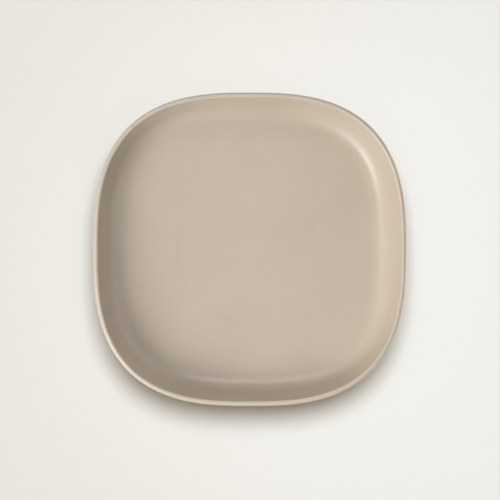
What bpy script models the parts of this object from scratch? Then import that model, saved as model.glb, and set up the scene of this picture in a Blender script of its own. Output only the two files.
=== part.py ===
"""Suction plate: a soft-square moulded plate that twist-locks onto a silicone suction base.

Run with: blender --background --python part.py
Units are metres, +Z is up, and the origin is the middle of the table face under the plate.
"""

import math

import bmesh
import bpy
from mathutils import Vector

# Plate
PLATE_WIDTH = 0.200  # across the flats, both ways
OUTLINE_EXPONENT = 2.76  # superellipse: 2 is a circle, higher is squarer
PLATE_WALL = 0.003
PLATE_DEPTH = 0.021  # rim top down to the serving floor
SIDE_LEAN = math.radians(25)  # lean of the side from upright
FLOOR_FILLET = 0.013  # inside radius between the floor and the side

# Socket ring, welded under the plate's floor
RING_RADIUS = 0.0451  # middle of the ring's wall, where the floor shows a faint mark
RING_WALL = 0.0024
LEDGE_REACH = 0.0018
LEDGE_THICKNESS = 0.0016
LEDGE_ARC = math.radians(40)
STOP_ARC = math.radians(4)
LOCK_COUNT = 3

# Twist hub of the suction base
SPIGOT_WALL = 0.0022
SPIGOT_END = 0.0008  # spigot above its snap bead and lugs
LUG_ARC = math.radians(34)
LUG_THICKNESS = 0.0018
STOP_PLAY = math.radians(0.5)  # free angle between a lug and its stop
WEB_THICKNESS = 0.002
WEB_LAND = 0.0056  # width of the web inside the spigot
SNAP_REACH = 0.0007
SNAP_HEIGHT = 0.001
GRIP_HEIGHT = 0.003
GRIP_OVERHANG = 0.0022  # grip flange beyond the socket ring
GRIP_FLUTES = 36
FLUTE_RADIUS = 0.0022
FLUTE_DEPTH = 0.0007

# Clamp plate that traps the cup's bead in the hub
CLAMP_THICKNESS = 0.002
PAD_WALL = 0.002

# Silicone cup: disc, bead, skirt, sealing lip and release tab
CUP_WALL = 0.0016
PRESS_TRAVEL = 0.0024  # height of the air gap under the disc
UPSTAND_WALL = 0.003
BEAD_REACH = 0.0035
BEAD_THICKNESS = 0.0015
DISC_LAND = 0.0047  # disc beyond the web's opening
SKIRT_REACH = 0.0045  # skirt beyond the grip flange
LIP_WIDTH = 0.0055
LIP_ROOT = 0.0014
LIP_EDGE = 0.001
LIP_LAND = 0.0032  # flat that lies on the table
TAB_LENGTH = 0.016
TAB_WIDTH = 0.015
TAB_ROOT_FLARE = 0.003
TAB_THICKNESS = 0.0016
TAB_TILT = math.radians(8)
TAB_RIBS = 3
TAB_RIB_RADIUS = 0.0006
TAB_RIB_INSET = 0.0018  # rib's ends from the tab's sides

CLEARANCE = 0.0003  # gap between neighbouring pieces
EDGE_BREAK = 0.0004  # small chamfer on moulded edges

# Resolution of the round shapes
OUTLINE_STEPS = 96
FILLET_STEPS = 6
RIM_STEPS = 4
TURN_STEPS = 72
ARC_STEPS = 8
FLUTE_STEPS = 12
TAB_END_STEPS = 12

# Radii, from the socket ring inwards and outwards, and spacing along the tab
RING_INNER = RING_RADIUS - RING_WALL / 2
RING_OUTER = RING_RADIUS + RING_WALL / 2
LEDGE_INNER = RING_INNER - LEDGE_REACH
LUG_OUTER = RING_INNER - CLEARANCE
SPIGOT_OUTER = LEDGE_INNER - CLEARANCE
SPIGOT_INNER = SPIGOT_OUTER - SPIGOT_WALL
CLAMP_RADIUS = SPIGOT_INNER - CLEARANCE
WEB_OPENING = SPIGOT_INNER - WEB_LAND
UPSTAND_OUTER = WEB_OPENING - CLEARANCE
UPSTAND_INNER = UPSTAND_OUTER - UPSTAND_WALL
BEAD_OUTER = WEB_OPENING + BEAD_REACH
PAD_OUTER = UPSTAND_INNER - CLEARANCE
PAD_INNER = PAD_OUTER - PAD_WALL
DISC_RADIUS = WEB_OPENING + DISC_LAND
GRIP_RADIUS = RING_OUTER + GRIP_OVERHANG
LIP_INNER = GRIP_RADIUS + SKIRT_REACH
LIP_RADIUS = LIP_INNER + LIP_WIDTH
TAB_RIB_SETBACK = TAB_LENGTH / 4  # first rib from the tab's end
TAB_RIB_PITCH = TAB_LENGTH / 6

# Heights, from the table up
DISC_TOP = PRESS_TRAVEL + CUP_WALL
HUB_BOTTOM = DISC_TOP + CLEARANCE
WEB_TOP = HUB_BOTTOM + WEB_THICKNESS
BEAD_BOTTOM = WEB_TOP + CLEARANCE
BEAD_TOP = BEAD_BOTTOM + BEAD_THICKNESS
CLAMP_BOTTOM = BEAD_TOP + CLEARANCE
CLAMP_TOP = CLAMP_BOTTOM + CLAMP_THICKNESS
SNAP_BOTTOM = CLAMP_TOP + CLEARANCE
SNAP_TOP = SNAP_BOTTOM + SNAP_HEIGHT
GRIP_TOP = HUB_BOTTOM + GRIP_HEIGHT
RING_BOTTOM = GRIP_TOP + CLEARANCE
LEDGE_BOTTOM = RING_BOTTOM + EDGE_BREAK
LEDGE_TOP = LEDGE_BOTTOM + LEDGE_THICKNESS
LUG_BOTTOM = LEDGE_TOP + CLEARANCE
LUG_TOP = LUG_BOTTOM + LUG_THICKNESS
HUB_TOP = max(LUG_TOP, SNAP_TOP) + SPIGOT_END
PLATE_BOTTOM = HUB_TOP + CLEARANCE
RING_TOP = PLATE_BOTTOM - CLEARANCE
FLOOR_TOP = PLATE_BOTTOM + PLATE_WALL
RIM_TOP = FLOOR_TOP + PLATE_DEPTH

# Finishes: name, linear base colour and roughness
PLATE_FINISH = ("plastic", (0.56, 0.48, 0.39), 0.5)
BASE_FINISH = ("plastic", (0.50, 0.42, 0.34), 0.5)
SILICONE_FINISH = ("silicone", (0.47, 0.39, 0.31), 0.6)

SMOOTH_ANGLE = math.radians(35)


def new_collection(name):
    """A collection in the scene."""
    collection = bpy.data.collections.new(name)
    bpy.context.scene.collection.children.link(collection)
    return collection


def clear_scene():
    """Removes the objects that the scene starts with."""
    for obj in list(bpy.data.objects):
        bpy.data.objects.remove(obj, do_unlink=True)


def material(piece_name, finish):
    """A piece's own Principled material."""
    finish_name, colour, roughness = finish
    made = bpy.data.materials.new(f"{piece_name}_{finish_name}")
    made.use_nodes = True
    shader = made.node_tree.nodes["Principled BSDF"]
    shader.inputs["Base Color"].default_value = (*colour, 1)
    shader.inputs["Roughness"].default_value = roughness
    shader.inputs["Metallic"].default_value = 0
    made.diffuse_color = (*colour, 1)
    return made


def add_mesh(name, bm, collection):
    """An object that holds the finished bmesh."""
    mesh = bpy.data.meshes.new(name)
    bm.to_mesh(mesh)
    bm.free()
    obj = bpy.data.objects.new(name, mesh)
    collection.objects.link(obj)
    return obj


def as_cutter(obj):
    """Marks a helper solid that only a Boolean reads."""
    obj.hide_render = True
    obj.display_type = "WIRE"
    return obj


def combine(obj, helper, operation):
    """Joins a helper solid to the object, or cuts it out."""
    boolean = obj.modifiers.new(helper.name, "BOOLEAN")
    boolean.operation = operation
    boolean.solver = "EXACT"
    boolean.object = as_cutter(helper)


def finish_piece(obj, finish):
    """Turns the object's modifiers into its mesh, shades it and gives it its material."""
    bpy.context.view_layer.update()
    evaluated = obj.evaluated_get(bpy.context.evaluated_depsgraph_get())
    mesh = bpy.data.meshes.new_from_object(evaluated)
    obj.modifiers.clear()
    obj.data = mesh
    mesh.shade_smooth()
    mesh.set_sharp_from_angle(angle=SMOOTH_ANGLE)
    mesh.materials.clear()
    mesh.materials.append(material(obj.name, finish))
    return obj


def turned(name, profile, collection):
    """A solid turned about Z from (radius, height) points that run down its outer side."""
    bm = bmesh.new()
    points = [bm.verts.new((radius, 0, height)) for radius, height in profile]
    for start, end in zip(points, points[1:]):
        bm.edges.new((start, end))
    if profile[0][0] > 0:
        bm.edges.new((points[-1], points[0]))
    obj = add_mesh(name, bm, collection)
    screw = obj.modifiers.new("Turn", "SCREW")
    screw.axis = "Z"
    screw.angle = math.tau
    screw.steps = TURN_STEPS
    screw.render_steps = TURN_STEPS
    screw.use_merge_vertices = True
    screw.merge_threshold = 0.00001
    return obj


def arc_block(name, inner, outer, bottom, top, start, arc, collection):
    """A block swept about Z, from the start angle through the arc."""
    bm = bmesh.new()
    corners = ((inner, bottom), (outer, bottom), (outer, top), (inner, top))
    along = Vector((math.cos(start), math.sin(start), 0))
    verts = [bm.verts.new(along * radius + Vector((0, 0, height))) for radius, height in corners]
    section = bm.faces.new(verts)
    bmesh.ops.spin(bm, geom=[section], axis=(0, 0, 1), cent=(0, 0, 0), angle=arc, steps=ARC_STEPS)
    bmesh.ops.recalc_face_normals(bm, faces=bm.faces)
    return add_mesh(name, bm, collection)


def outline_point(angle, inset):
    """The plate's outline at a polar angle, moved inwards square to the outline."""
    power = OUTLINE_EXPONENT
    cosine, sine = math.cos(angle), math.sin(angle)
    reach = PLATE_WIDTH / 2 / (abs(cosine) ** power + abs(sine) ** power) ** (1 / power)
    across = math.copysign(abs(cosine) ** (power - 1), cosine)
    upward = math.copysign(abs(sine) ** (power - 1), sine)
    normal = Vector((across, upward)).normalized()
    return Vector((cosine, sine)) * reach - normal * inset


def side_section():
    """(inset, height) of the plate's food side, from the rim's inner edge down to the floor."""
    rim = PLATE_WALL / 2
    rise = math.pi / 2 - SIDE_LEAN
    top_inset = rim * (1 - math.sin(SIDE_LEAN) + math.cos(SIDE_LEAN))
    top_height = RIM_TOP - rim * (1 - math.sin(SIDE_LEAN) - math.cos(SIDE_LEAN))
    straight = top_height - FLOOR_TOP - FLOOR_FILLET * (1 - math.cos(rise))
    floor_inset = top_inset + straight * math.tan(SIDE_LEAN) + FLOOR_FILLET * math.sin(rise)
    section = [(top_inset, top_height)]
    for step in range(FILLET_STEPS + 1):
        angle = rise * (1 - step / FILLET_STEPS)
        inset = floor_inset - FLOOR_FILLET * math.sin(angle)
        section.append((inset, FLOOR_TOP + FLOOR_FILLET * (1 - math.cos(angle))))
    return section


def add_loop(bm, inset, height, filled):
    """One level outline of the plate, whose edges it returns."""
    loop = bmesh.ops.create_circle(bm, cap_ends=filled, segments=OUTLINE_STEPS, radius=1)["verts"]
    for vert in loop:
        point = outline_point(math.atan2(vert.co.y, vert.co.x), inset)
        vert.co = (point.x, point.y, height)
    return {edge for vert in loop for edge in vert.link_edges}


def make_plate(parts):
    """The plate: its food side as a surface, thickened downwards, with a full-round rim."""
    bm = bmesh.new()
    section = side_section()
    above = None
    for inset, height in section:
        loop = add_loop(bm, inset, height, filled=(inset, height) == section[-1])
        if above:
            bmesh.ops.bridge_loops(bm, edges=list(above | loop))
        above = loop
    bmesh.ops.recalc_face_normals(bm, faces=bm.faces)
    floor = max(bm.faces, key=lambda face: len(face.verts))
    if floor.normal.z < 0:
        bmesh.ops.reverse_faces(bm, faces=bm.faces)
    plate = add_mesh("plate", bm, parts)
    wall = plate.modifiers.new("Wall", "SOLIDIFY")
    wall.thickness = PLATE_WALL
    wall.offset = -1
    wall.use_even_offset = True
    wall.use_quality_normals = True
    rim = plate.modifiers.new("Rim", "BEVEL")
    rim.limit_method = "ANGLE"
    rim.angle_limit = math.radians(60)
    rim.width = PLATE_WALL * 0.48
    rim.segments = RIM_STEPS
    return finish_piece(plate, PLATE_FINISH)


def lock_angles():
    """Where each bayonet ledge starts, evenly round the ring."""
    return [math.tau * index / LOCK_COUNT for index in range(LOCK_COUNT)]


def make_socket_ring(parts, helpers):
    """The ring under the floor, with inward ledges and a stop at one end of each."""
    profile = [
        (RING_INNER, RING_TOP),
        (RING_OUTER, RING_TOP),
        (RING_OUTER, RING_BOTTOM + EDGE_BREAK),
        (RING_OUTER - EDGE_BREAK, RING_BOTTOM),
        (RING_INNER, RING_BOTTOM),
    ]
    ring = turned("socket_ring", profile, parts)
    stop_inner = LEDGE_INNER + CLEARANCE
    for index, start in enumerate(lock_angles()):
        ledge = arc_block(
            f"ledge_{index}", LEDGE_INNER, RING_RADIUS, LEDGE_BOTTOM, LEDGE_TOP, start, LEDGE_ARC, helpers
        )
        combine(ring, ledge, "UNION")
        stop_start = start + LEDGE_ARC - STOP_ARC - STOP_PLAY
        stop_bottom = LEDGE_TOP - LEDGE_THICKNESS / 2
        stop = arc_block(
            f"stop_{index}", stop_inner, RING_RADIUS, stop_bottom, LUG_TOP, stop_start, STOP_ARC, helpers
        )
        combine(ring, stop, "UNION")
    return finish_piece(ring, BASE_FINISH)


def hub_profile():
    """(radius, height) of the hub: spigot, snap bead inside it, web, and grip flange."""
    return [
        (SPIGOT_INNER, HUB_TOP),
        (SPIGOT_OUTER - EDGE_BREAK, HUB_TOP),
        (SPIGOT_OUTER, HUB_TOP - EDGE_BREAK),
        (SPIGOT_OUTER, GRIP_TOP),
        (GRIP_RADIUS - EDGE_BREAK, GRIP_TOP),
        (GRIP_RADIUS, GRIP_TOP - EDGE_BREAK),
        (GRIP_RADIUS, HUB_BOTTOM + EDGE_BREAK),
        (GRIP_RADIUS - EDGE_BREAK, HUB_BOTTOM),
        (WEB_OPENING, HUB_BOTTOM),
        (WEB_OPENING, WEB_TOP),
        (SPIGOT_INNER, WEB_TOP),
        (SPIGOT_INNER, SNAP_BOTTOM),
        (SPIGOT_INNER - SNAP_REACH, SNAP_BOTTOM + SNAP_HEIGHT / 3),
        (SPIGOT_INNER, SNAP_TOP),
    ]


def flute_cutter(helpers):
    """A ring of upright rods that cut the finger flutes into the grip flange."""
    bm = bmesh.new()
    length = 3 * GRIP_HEIGHT
    middle = (HUB_BOTTOM + GRIP_TOP) / 2
    for index in range(GRIP_FLUTES):
        rod = bmesh.ops.create_cone(
            bm,
            cap_ends=True,
            segments=FLUTE_STEPS,
            radius1=FLUTE_RADIUS,
            radius2=FLUTE_RADIUS,
            depth=length,
        )["verts"]
        angle = math.tau * (index + 0.5) / GRIP_FLUTES
        out = GRIP_RADIUS + FLUTE_RADIUS - FLUTE_DEPTH
        place = Vector((out * math.cos(angle), out * math.sin(angle), middle))
        bmesh.ops.translate(bm, verts=rod, vec=place)
    return add_mesh("flute_rods", bm, helpers)


def make_twist_hub(parts, helpers):
    """The rigid hub that locks into the socket ring and carries the cup."""
    hub = turned("twist_hub", hub_profile(), parts)
    lug_inner = SPIGOT_OUTER - SPIGOT_WALL / 2
    for index, start in enumerate(lock_angles()):
        lug_start = start + LEDGE_ARC - STOP_ARC - 2 * STOP_PLAY - LUG_ARC
        lug = arc_block(
            f"lug_{index}", lug_inner, LUG_OUTER, LUG_BOTTOM, LUG_TOP, lug_start, LUG_ARC, helpers
        )
        combine(hub, lug, "UNION")
    combine(hub, flute_cutter(helpers), "DIFFERENCE")
    return finish_piece(hub, BASE_FINISH)


def make_clamp_plate(parts):
    """The disc that snaps into the hub over the cup's bead and backs the cup's disc."""
    profile = [
        (0, CLAMP_TOP),
        (CLAMP_RADIUS - EDGE_BREAK, CLAMP_TOP),
        (CLAMP_RADIUS, CLAMP_TOP - EDGE_BREAK),
        (CLAMP_RADIUS, CLAMP_BOTTOM),
        (PAD_OUTER, CLAMP_BOTTOM),
        (PAD_OUTER, DISC_TOP + CLEARANCE),
        (PAD_INNER, DISC_TOP + CLEARANCE),
        (PAD_INNER, CLAMP_BOTTOM),
        (0, CLAMP_BOTTOM),
    ]
    return finish_piece(turned("clamp_plate", profile, parts), BASE_FINISH)


def make_suction_cup(parts):
    """The cup's disc, with the upstand and bead that the clamp plate traps."""
    profile = [
        (0, DISC_TOP),
        (UPSTAND_INNER, DISC_TOP),
        (UPSTAND_INNER, BEAD_TOP),
        (BEAD_OUTER, BEAD_TOP),
        (BEAD_OUTER, BEAD_BOTTOM),
        (UPSTAND_OUTER, BEAD_BOTTOM),
        (UPSTAND_OUTER, DISC_TOP),
        (DISC_RADIUS, DISC_TOP),
        (DISC_RADIUS, PRESS_TRAVEL),
        (0, PRESS_TRAVEL),
    ]
    return finish_piece(turned("suction_cup", profile, parts), SILICONE_FINISH)


def skirt_underside(radius):
    """Height of the flexible skirt's underside, which falls from the disc to the lip."""
    share = (radius - DISC_RADIUS) / (LIP_RADIUS - LIP_LAND - DISC_RADIUS)
    return PRESS_TRAVEL * (1 - share)


def skirt_thickness(radius):
    """Thickness of the skirt, from the disc's wall to the lip's root."""
    share = (radius - DISC_RADIUS) / (LIP_INNER - DISC_RADIUS)
    return CUP_WALL + (LIP_ROOT - CUP_WALL) * share


def make_cup_skirt(parts):
    """The thin flexible wall between the disc and the sealing lip."""
    inner = DISC_RADIUS + CLEARANCE
    outer = LIP_INNER - CLEARANCE
    profile = [
        (inner, skirt_underside(inner) + skirt_thickness(inner)),
        (outer, skirt_underside(outer) + skirt_thickness(outer)),
        (outer, skirt_underside(outer)),
        (inner, skirt_underside(inner)),
    ]
    return finish_piece(turned("cup_skirt", profile, parts), SILICONE_FINISH)


def make_sealing_lip(parts):
    """The lip that lies on the table."""
    profile = [
        (LIP_INNER, skirt_underside(LIP_INNER) + LIP_ROOT),
        (LIP_RADIUS - EDGE_BREAK, LIP_EDGE),
        (LIP_RADIUS, LIP_EDGE - EDGE_BREAK),
        (LIP_RADIUS, EDGE_BREAK),
        (LIP_RADIUS - EDGE_BREAK, 0),
        (LIP_RADIUS - LIP_LAND, 0),
        (LIP_INNER, skirt_underside(LIP_INNER)),
    ]
    return finish_piece(turned("sealing_lip", profile, parts), SILICONE_FINISH)


def tab_outline():
    """The tab seen from above, root at Y 0, pointing to -Y, with a round end."""
    half = TAB_WIDTH / 2
    outline = [(half + TAB_ROOT_FLARE, 0), (-half - TAB_ROOT_FLARE, 0), (-half, -TAB_ROOT_FLARE)]
    for step in range(TAB_END_STEPS + 1):
        angle = math.pi * (1 + step / TAB_END_STEPS)
        outline.append((half * math.cos(angle), half - TAB_LENGTH + half * math.sin(angle)))
    outline.append((half, -TAB_ROOT_FLARE))
    return outline


def flat_solid(name, outline, thickness, collection):
    """A level outline as a solid of that thickness, centred on Z 0."""
    curve = bpy.data.curves.new(name, "CURVE")
    curve.dimensions = "2D"
    curve.fill_mode = "BOTH"
    curve.extrude = thickness / 2
    spline = curve.splines.new("POLY")
    spline.points.add(len(outline) - 1)
    for point, (x, y) in zip(spline.points, outline):
        point.co = (x, y, 0, 1)
    spline.use_cyclic_u = True
    drawn = bpy.data.objects.new(name, curve)
    collection.objects.link(drawn)
    bpy.context.view_layer.update()
    evaluated = drawn.evaluated_get(bpy.context.evaluated_depsgraph_get())
    bm = bmesh.new()
    bm.from_mesh(bpy.data.meshes.new_from_object(evaluated))
    bpy.data.objects.remove(drawn)
    bmesh.ops.remove_doubles(bm, verts=bm.verts, dist=0.00001)
    bmesh.ops.recalc_face_normals(bm, faces=bm.faces)
    return add_mesh(name, bm, collection)


def make_release_tab(parts, helpers):
    """The pull tab on the lip, with finger ribs. Its origin is on the line that it bends about."""
    tab = flat_solid("release_tab", tab_outline(), TAB_THICKNESS, parts)
    for index in range(TAB_RIBS):
        bm = bmesh.new()
        bmesh.ops.create_cone(
            bm,
            cap_ends=True,
            segments=FLUTE_STEPS,
            radius1=TAB_RIB_RADIUS,
            radius2=TAB_RIB_RADIUS,
            depth=TAB_WIDTH - 2 * TAB_RIB_INSET,
        )
        rib = add_mesh(f"tab_rib_{index}", bm, helpers)
        rib.rotation_euler = (0, math.pi / 2, 0)
        along = TAB_RIB_SETBACK - TAB_LENGTH + TAB_RIB_PITCH * index
        rib.location = (0, along, TAB_THICKNESS / 2)
        combine(tab, rib, "UNION")
    finish_piece(tab, SILICONE_FINISH)
    tab.location = (0, -LIP_RADIUS - CLEARANCE, TAB_THICKNESS / 2 + CLEARANCE)
    tab.rotation_euler = (-TAB_TILT, 0, 0)
    return tab


def under(pieces, name, parts):
    """Parents the pieces to an empty on the vertical axis that they turn or slide along."""
    empty = bpy.data.objects.new(name, None)
    parts.objects.link(empty)
    for piece in pieces:
        piece.parent = empty
    return empty


def main():
    clear_scene()
    parts = new_collection("suction_plate")
    helpers = new_collection("helpers")
    plate = make_plate(parts)
    ring = make_socket_ring(parts, helpers)
    hub = make_twist_hub(parts, helpers)
    clamp = make_clamp_plate(parts)
    cup = make_suction_cup(parts)
    skirt = make_cup_skirt(parts)
    lip = make_sealing_lip(parts)
    tab = make_release_tab(parts, helpers)
    under([plate, ring], "plate_axis", parts)
    lip_axis = under([lip, tab], "lip_axis", parts)
    under([hub, clamp, cup, skirt, lip_axis], "base_axis", parts)


main()
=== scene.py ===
import math

import bmesh
import bpy
from mathutils import Matrix, Vector


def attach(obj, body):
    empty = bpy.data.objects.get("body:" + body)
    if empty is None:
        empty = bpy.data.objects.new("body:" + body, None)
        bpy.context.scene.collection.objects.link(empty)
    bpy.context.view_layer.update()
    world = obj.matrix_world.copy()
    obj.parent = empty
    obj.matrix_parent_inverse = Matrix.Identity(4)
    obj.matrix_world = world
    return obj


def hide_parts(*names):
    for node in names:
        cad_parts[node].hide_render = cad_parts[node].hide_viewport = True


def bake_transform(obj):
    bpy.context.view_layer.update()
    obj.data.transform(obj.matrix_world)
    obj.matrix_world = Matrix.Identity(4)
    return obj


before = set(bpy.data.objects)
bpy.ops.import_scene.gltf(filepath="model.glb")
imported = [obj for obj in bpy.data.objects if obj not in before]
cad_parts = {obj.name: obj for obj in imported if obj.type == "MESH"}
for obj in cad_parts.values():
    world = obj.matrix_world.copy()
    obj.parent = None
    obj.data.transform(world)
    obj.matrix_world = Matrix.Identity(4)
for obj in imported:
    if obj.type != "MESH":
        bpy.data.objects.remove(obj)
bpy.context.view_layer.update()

scene = bpy.context.scene
scene.view_settings.view_transform = "Standard"
pieceCollection = bpy.data.collections.new("suctionPlate")
scene.collection.children.link(pieceCollection)

meshLimits = {  # in metres, apart from the digits
    "weld": 0.000002,  # points nearer than this become one
    "seamWeld": 0.000005,  # the same, where a turned piece meets its own start
    "cutSnap": 0.000001,  # a cut this near a point goes through it
    "sameSpot": 0.00001,  # outline points nearer than this are one
    "middle": 1e-9,  # points this near a middle plane stay on it
    "sortDigits": 7,  # decimals that tell points apart when they are sorted
}


# small helpers for the node trees

def feed(tree, socket, value):
    if isinstance(value, bpy.types.NodeSocket):
        tree.links.new(value, socket)
    else:
        socket.default_value = value


def addMath(tree, operation, *values):
    node = tree.nodes.new("ShaderNodeMath")
    node.operation = operation
    for socket, value in zip(node.inputs, values):
        feed(tree, socket, value)
    return node.outputs[0]


def addVector(tree, x=0.0, y=0.0, z=0.0):
    node = tree.nodes.new("ShaderNodeCombineXYZ")
    for socket, value in zip(node.inputs, (x, y, z)):
        feed(tree, socket, value)
    return node.outputs[0]


def addVectorMath(tree, operation, *values):
    node = tree.nodes.new("ShaderNodeVectorMath")
    node.operation = operation
    for socket, value in zip(node.inputs, values):
        feed(tree, socket, value)
    return node.outputs[0]


def addLength(tree, vector):
    node = tree.nodes.new("ShaderNodeVectorMath")
    node.operation = "LENGTH"
    tree.links.new(vector, node.inputs[0])
    return node.outputs["Value"]


def addScaled(tree, vector, factor):
    node = tree.nodes.new("ShaderNodeVectorMath")
    node.operation = "SCALE"
    tree.links.new(vector, node.inputs[0])
    tree.links.new(factor, node.inputs["Scale"])
    return node.outputs[0]


def addNode(tree, kind, settings=None, **inputs):
    node = tree.nodes.new(kind)
    for name, value in (settings or {}).items():
        setattr(node, name, value)
    for name, value in inputs.items():
        feed(tree, node.inputs[name.replace("_", " ")], value)
    return node


def newShapeTree(name, inputs):
    # a Geometry Nodes tree with named inputs, its input sockets by name and its output socket
    tree = bpy.data.node_groups.new(name, "GeometryNodeTree")
    tree.interface.new_socket("Geometry", in_out="INPUT", socket_type="NodeSocketGeometry")
    for label, kind in inputs:
        tree.interface.new_socket(label, in_out="INPUT", socket_type="NodeSocket" + kind)
    tree.interface.new_socket("Material", in_out="INPUT", socket_type="NodeSocketMaterial")
    tree.interface.new_socket("Geometry", in_out="OUTPUT", socket_type="NodeSocketGeometry")
    start = tree.nodes.new("NodeGroupInput")
    end = tree.nodes.new("NodeGroupOutput")
    return tree, start.outputs, end.inputs["Geometry"]


def closeTree(tree, geometry, material, out):
    realised = addNode(tree, "GeometryNodeRealizeInstances", Geometry=geometry)
    painted = addNode(tree, "GeometryNodeSetMaterial", Geometry=realised.outputs[0], Material=material)
    tree.links.new(painted.outputs[0], out)


def runTree(name, tree, values, material, mesh=None):
    # runs the tree once and keeps the result as a plain mesh
    obj = bpy.data.objects.new(name, mesh or bpy.data.meshes.new(name))
    pieceCollection.objects.link(obj)
    modifier = obj.modifiers.new("Shape", "NODES")
    modifier.node_group = tree
    for item in tree.interface.items_tree:
        if item.in_out == "INPUT" and item.name in values:
            modifier[item.identifier] = values[item.name]
        if item.in_out == "INPUT" and item.name == "Material":
            modifier[item.identifier] = material
    return settle(obj)


def settle(obj):
    # modifiers become the mesh
    bpy.context.view_layer.update()
    evaluated = obj.evaluated_get(bpy.context.evaluated_depsgraph_get())
    mesh = bpy.data.meshes.new_from_object(evaluated)
    obj.modifiers.clear()
    obj.data = mesh
    return obj


def outward(obj):
    # welds doubles, drops points left along an edge and turns every face outwards
    bm = bmesh.new()
    bm.from_mesh(obj.data)
    bmesh.ops.remove_doubles(bm, verts=bm.verts, dist=meshLimits["weld"])
    bmesh.ops.dissolve_verts(bm, verts=[vert for vert in bm.verts if len(vert.link_edges) == 2])
    bmesh.ops.recalc_face_normals(bm, faces=bm.faces)
    bm.to_mesh(obj.data)
    bm.free()
    return obj


def shade(obj, angle=40):
    obj.data.shade_smooth()
    obj.data.set_sharp_from_angle(angle=math.radians(angle))
    return obj


def paint(obj, material):
    obj.data.materials.clear()
    obj.data.materials.append(material)
    return obj


# finishes

finishes = {
    "plate": {
        "light": (0.58, 0.496, 0.398), "deep": (0.556, 0.472, 0.377), "rough": (0.35, 0.41),
        "grain": 2600, "grainDepth": 0.22, "speckShare": 0.05,
        "rimHighlight": (0.617, 0.536, 0.438), "rimHighlightFrom": 0.0357, "rimHighlightTo": 0.0367,  # painted highlight: paler along the rim's crest
        "gateMarkAndLightPool": (0.6, 0.518, 0.42), "gateMarkAndPoolRadius": (0.013, 0.07),  # paler spot where the mould was filled, with a painted pool of light round it
        "gateMarkAndPoolStrength": (0.75, 0.55),  # of the spot and of the painted pool of light round it
    },
    "base": {
        "light": (0.515, 0.432, 0.345), "deep": (0.485, 0.405, 0.322), "rough": (0.46, 0.54),
        "grain": 1500, "grainDepth": 0.5, "speckShare": 0.03,
    },
    "silicone": {
        "light": (0.485, 0.402, 0.32), "deep": (0.455, 0.375, 0.296), "rough": (0.5, 0.6),
        "grain": 3200, "grainDepth": 0.12, "speckShare": 0.02,
        "lint": (0.68, 0.62, 0.54), "lintScale": 140, "lintSize": 0.05, "lintShare": 0.12,
        "sealRough": 0.3, "sealRadius": 0.0583, "sealFade": 0.0004,
        "sealFacing": (-0.8, -0.5),  # how far down a face looks where the polish is full and where it ends
    },
    "grainHeight": 0.00005,
    "cloudScale": 22,  # soft drift of tone, about 45 mm across
    "cloudRange": (0.3, 0.7),  # the part of the noise that is spread from deep to light
    "speckScale": 26, "speckSize": 0.014, "speckColour": (0.2, 0.15, 0.11),
}


def newShaderGroup(name, inputs, outputs):
    tree = bpy.data.node_groups.new(name, "ShaderNodeTree")
    for label in inputs:
        tree.interface.new_socket(label, in_out="INPUT", socket_type="NodeSocketFloat")
    for label in outputs:
        tree.interface.new_socket(label, in_out="OUTPUT", socket_type="NodeSocketFloat")
    return tree, tree.nodes.new("NodeGroupInput").outputs, tree.nodes.new("NodeGroupOutput").inputs


def ramp(tree, value, low, high, toLow=0.0, toHigh=1.0, smooth=True):
    node = addNode(tree, "ShaderNodeMapRange", Value=value)
    node.interpolation_type = "SMOOTHSTEP" if smooth else "LINEAR"
    for label, limit in (("From Min", low), ("From Max", high), ("To Min", toLow), ("To Max", toHigh)):
        feed(tree, node.inputs[label], limit)
    return node.outputs["Result"]


def makeMouldSkin():
    # fine moulded grain for the bump, and a slow drift for tone and gloss
    tree, given, out = newShaderGroup("mouldSkin", ["Grain", "Cloud"], ["Height", "Drift"])
    place = addNode(tree, "ShaderNodeTexCoord").outputs["Object"]
    grain = addNode(tree, "ShaderNodeTexNoise", Vector=place, Scale=given["Grain"], Detail=2.0, Roughness=0.6)
    cloud = addNode(tree, "ShaderNodeTexNoise", Vector=place, Scale=given["Cloud"], Detail=3.0, Roughness=0.5)
    tree.links.new(grain.outputs["Fac"], out["Height"])
    tree.links.new(ramp(tree, cloud.outputs["Fac"], *finishes["cloudRange"]), out["Drift"])
    return tree


def makeSparseSpecks():
    # tiny specks, one in some of the cells
    tree, given, out = newShaderGroup("sparseSpecks", ["Scale", "Size", "Share"], ["Mask"])
    place = addNode(tree, "ShaderNodeTexCoord").outputs["Object"]
    cells = addNode(tree, "ShaderNodeTexVoronoi", Vector=place, Scale=given["Scale"])
    chance = addNode(tree, "ShaderNodeSeparateColor", Color=cells.outputs["Color"]).outputs["Red"]
    chosen = addMath(tree, "LESS_THAN", chance, given["Share"])
    near = ramp(tree, cells.outputs["Distance"], 0.0, given["Size"], 1.0, 0.0, False)
    tree.links.new(addMath(tree, "MULTIPLY", near, chosen), out["Mask"])
    return tree


mouldSkin = makeMouldSkin()
sparseSpecks = makeSparseSpecks()


def tinted(tree, colour, mask, tint):
    # lays a tint over a colour where the mask says
    node = addNode(tree, "ShaderNodeMix", {"data_type": "RGBA"})
    feed(tree, node.inputs["Factor"], mask)
    for label, value in (("A", colour), ("B", tint)):
        feed(tree, node.inputs[label], (*value, 1) if isinstance(value, tuple) else value)
    return node.outputs["Result"]


def specks(tree, scale, size, share):
    node = addNode(tree, "ShaderNodeGroup", {"node_tree": sparseSpecks})
    for label, value in (("Scale", scale), ("Size", size), ("Share", share)):
        node.inputs[label].default_value = value
    return node.outputs["Mask"]


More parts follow.
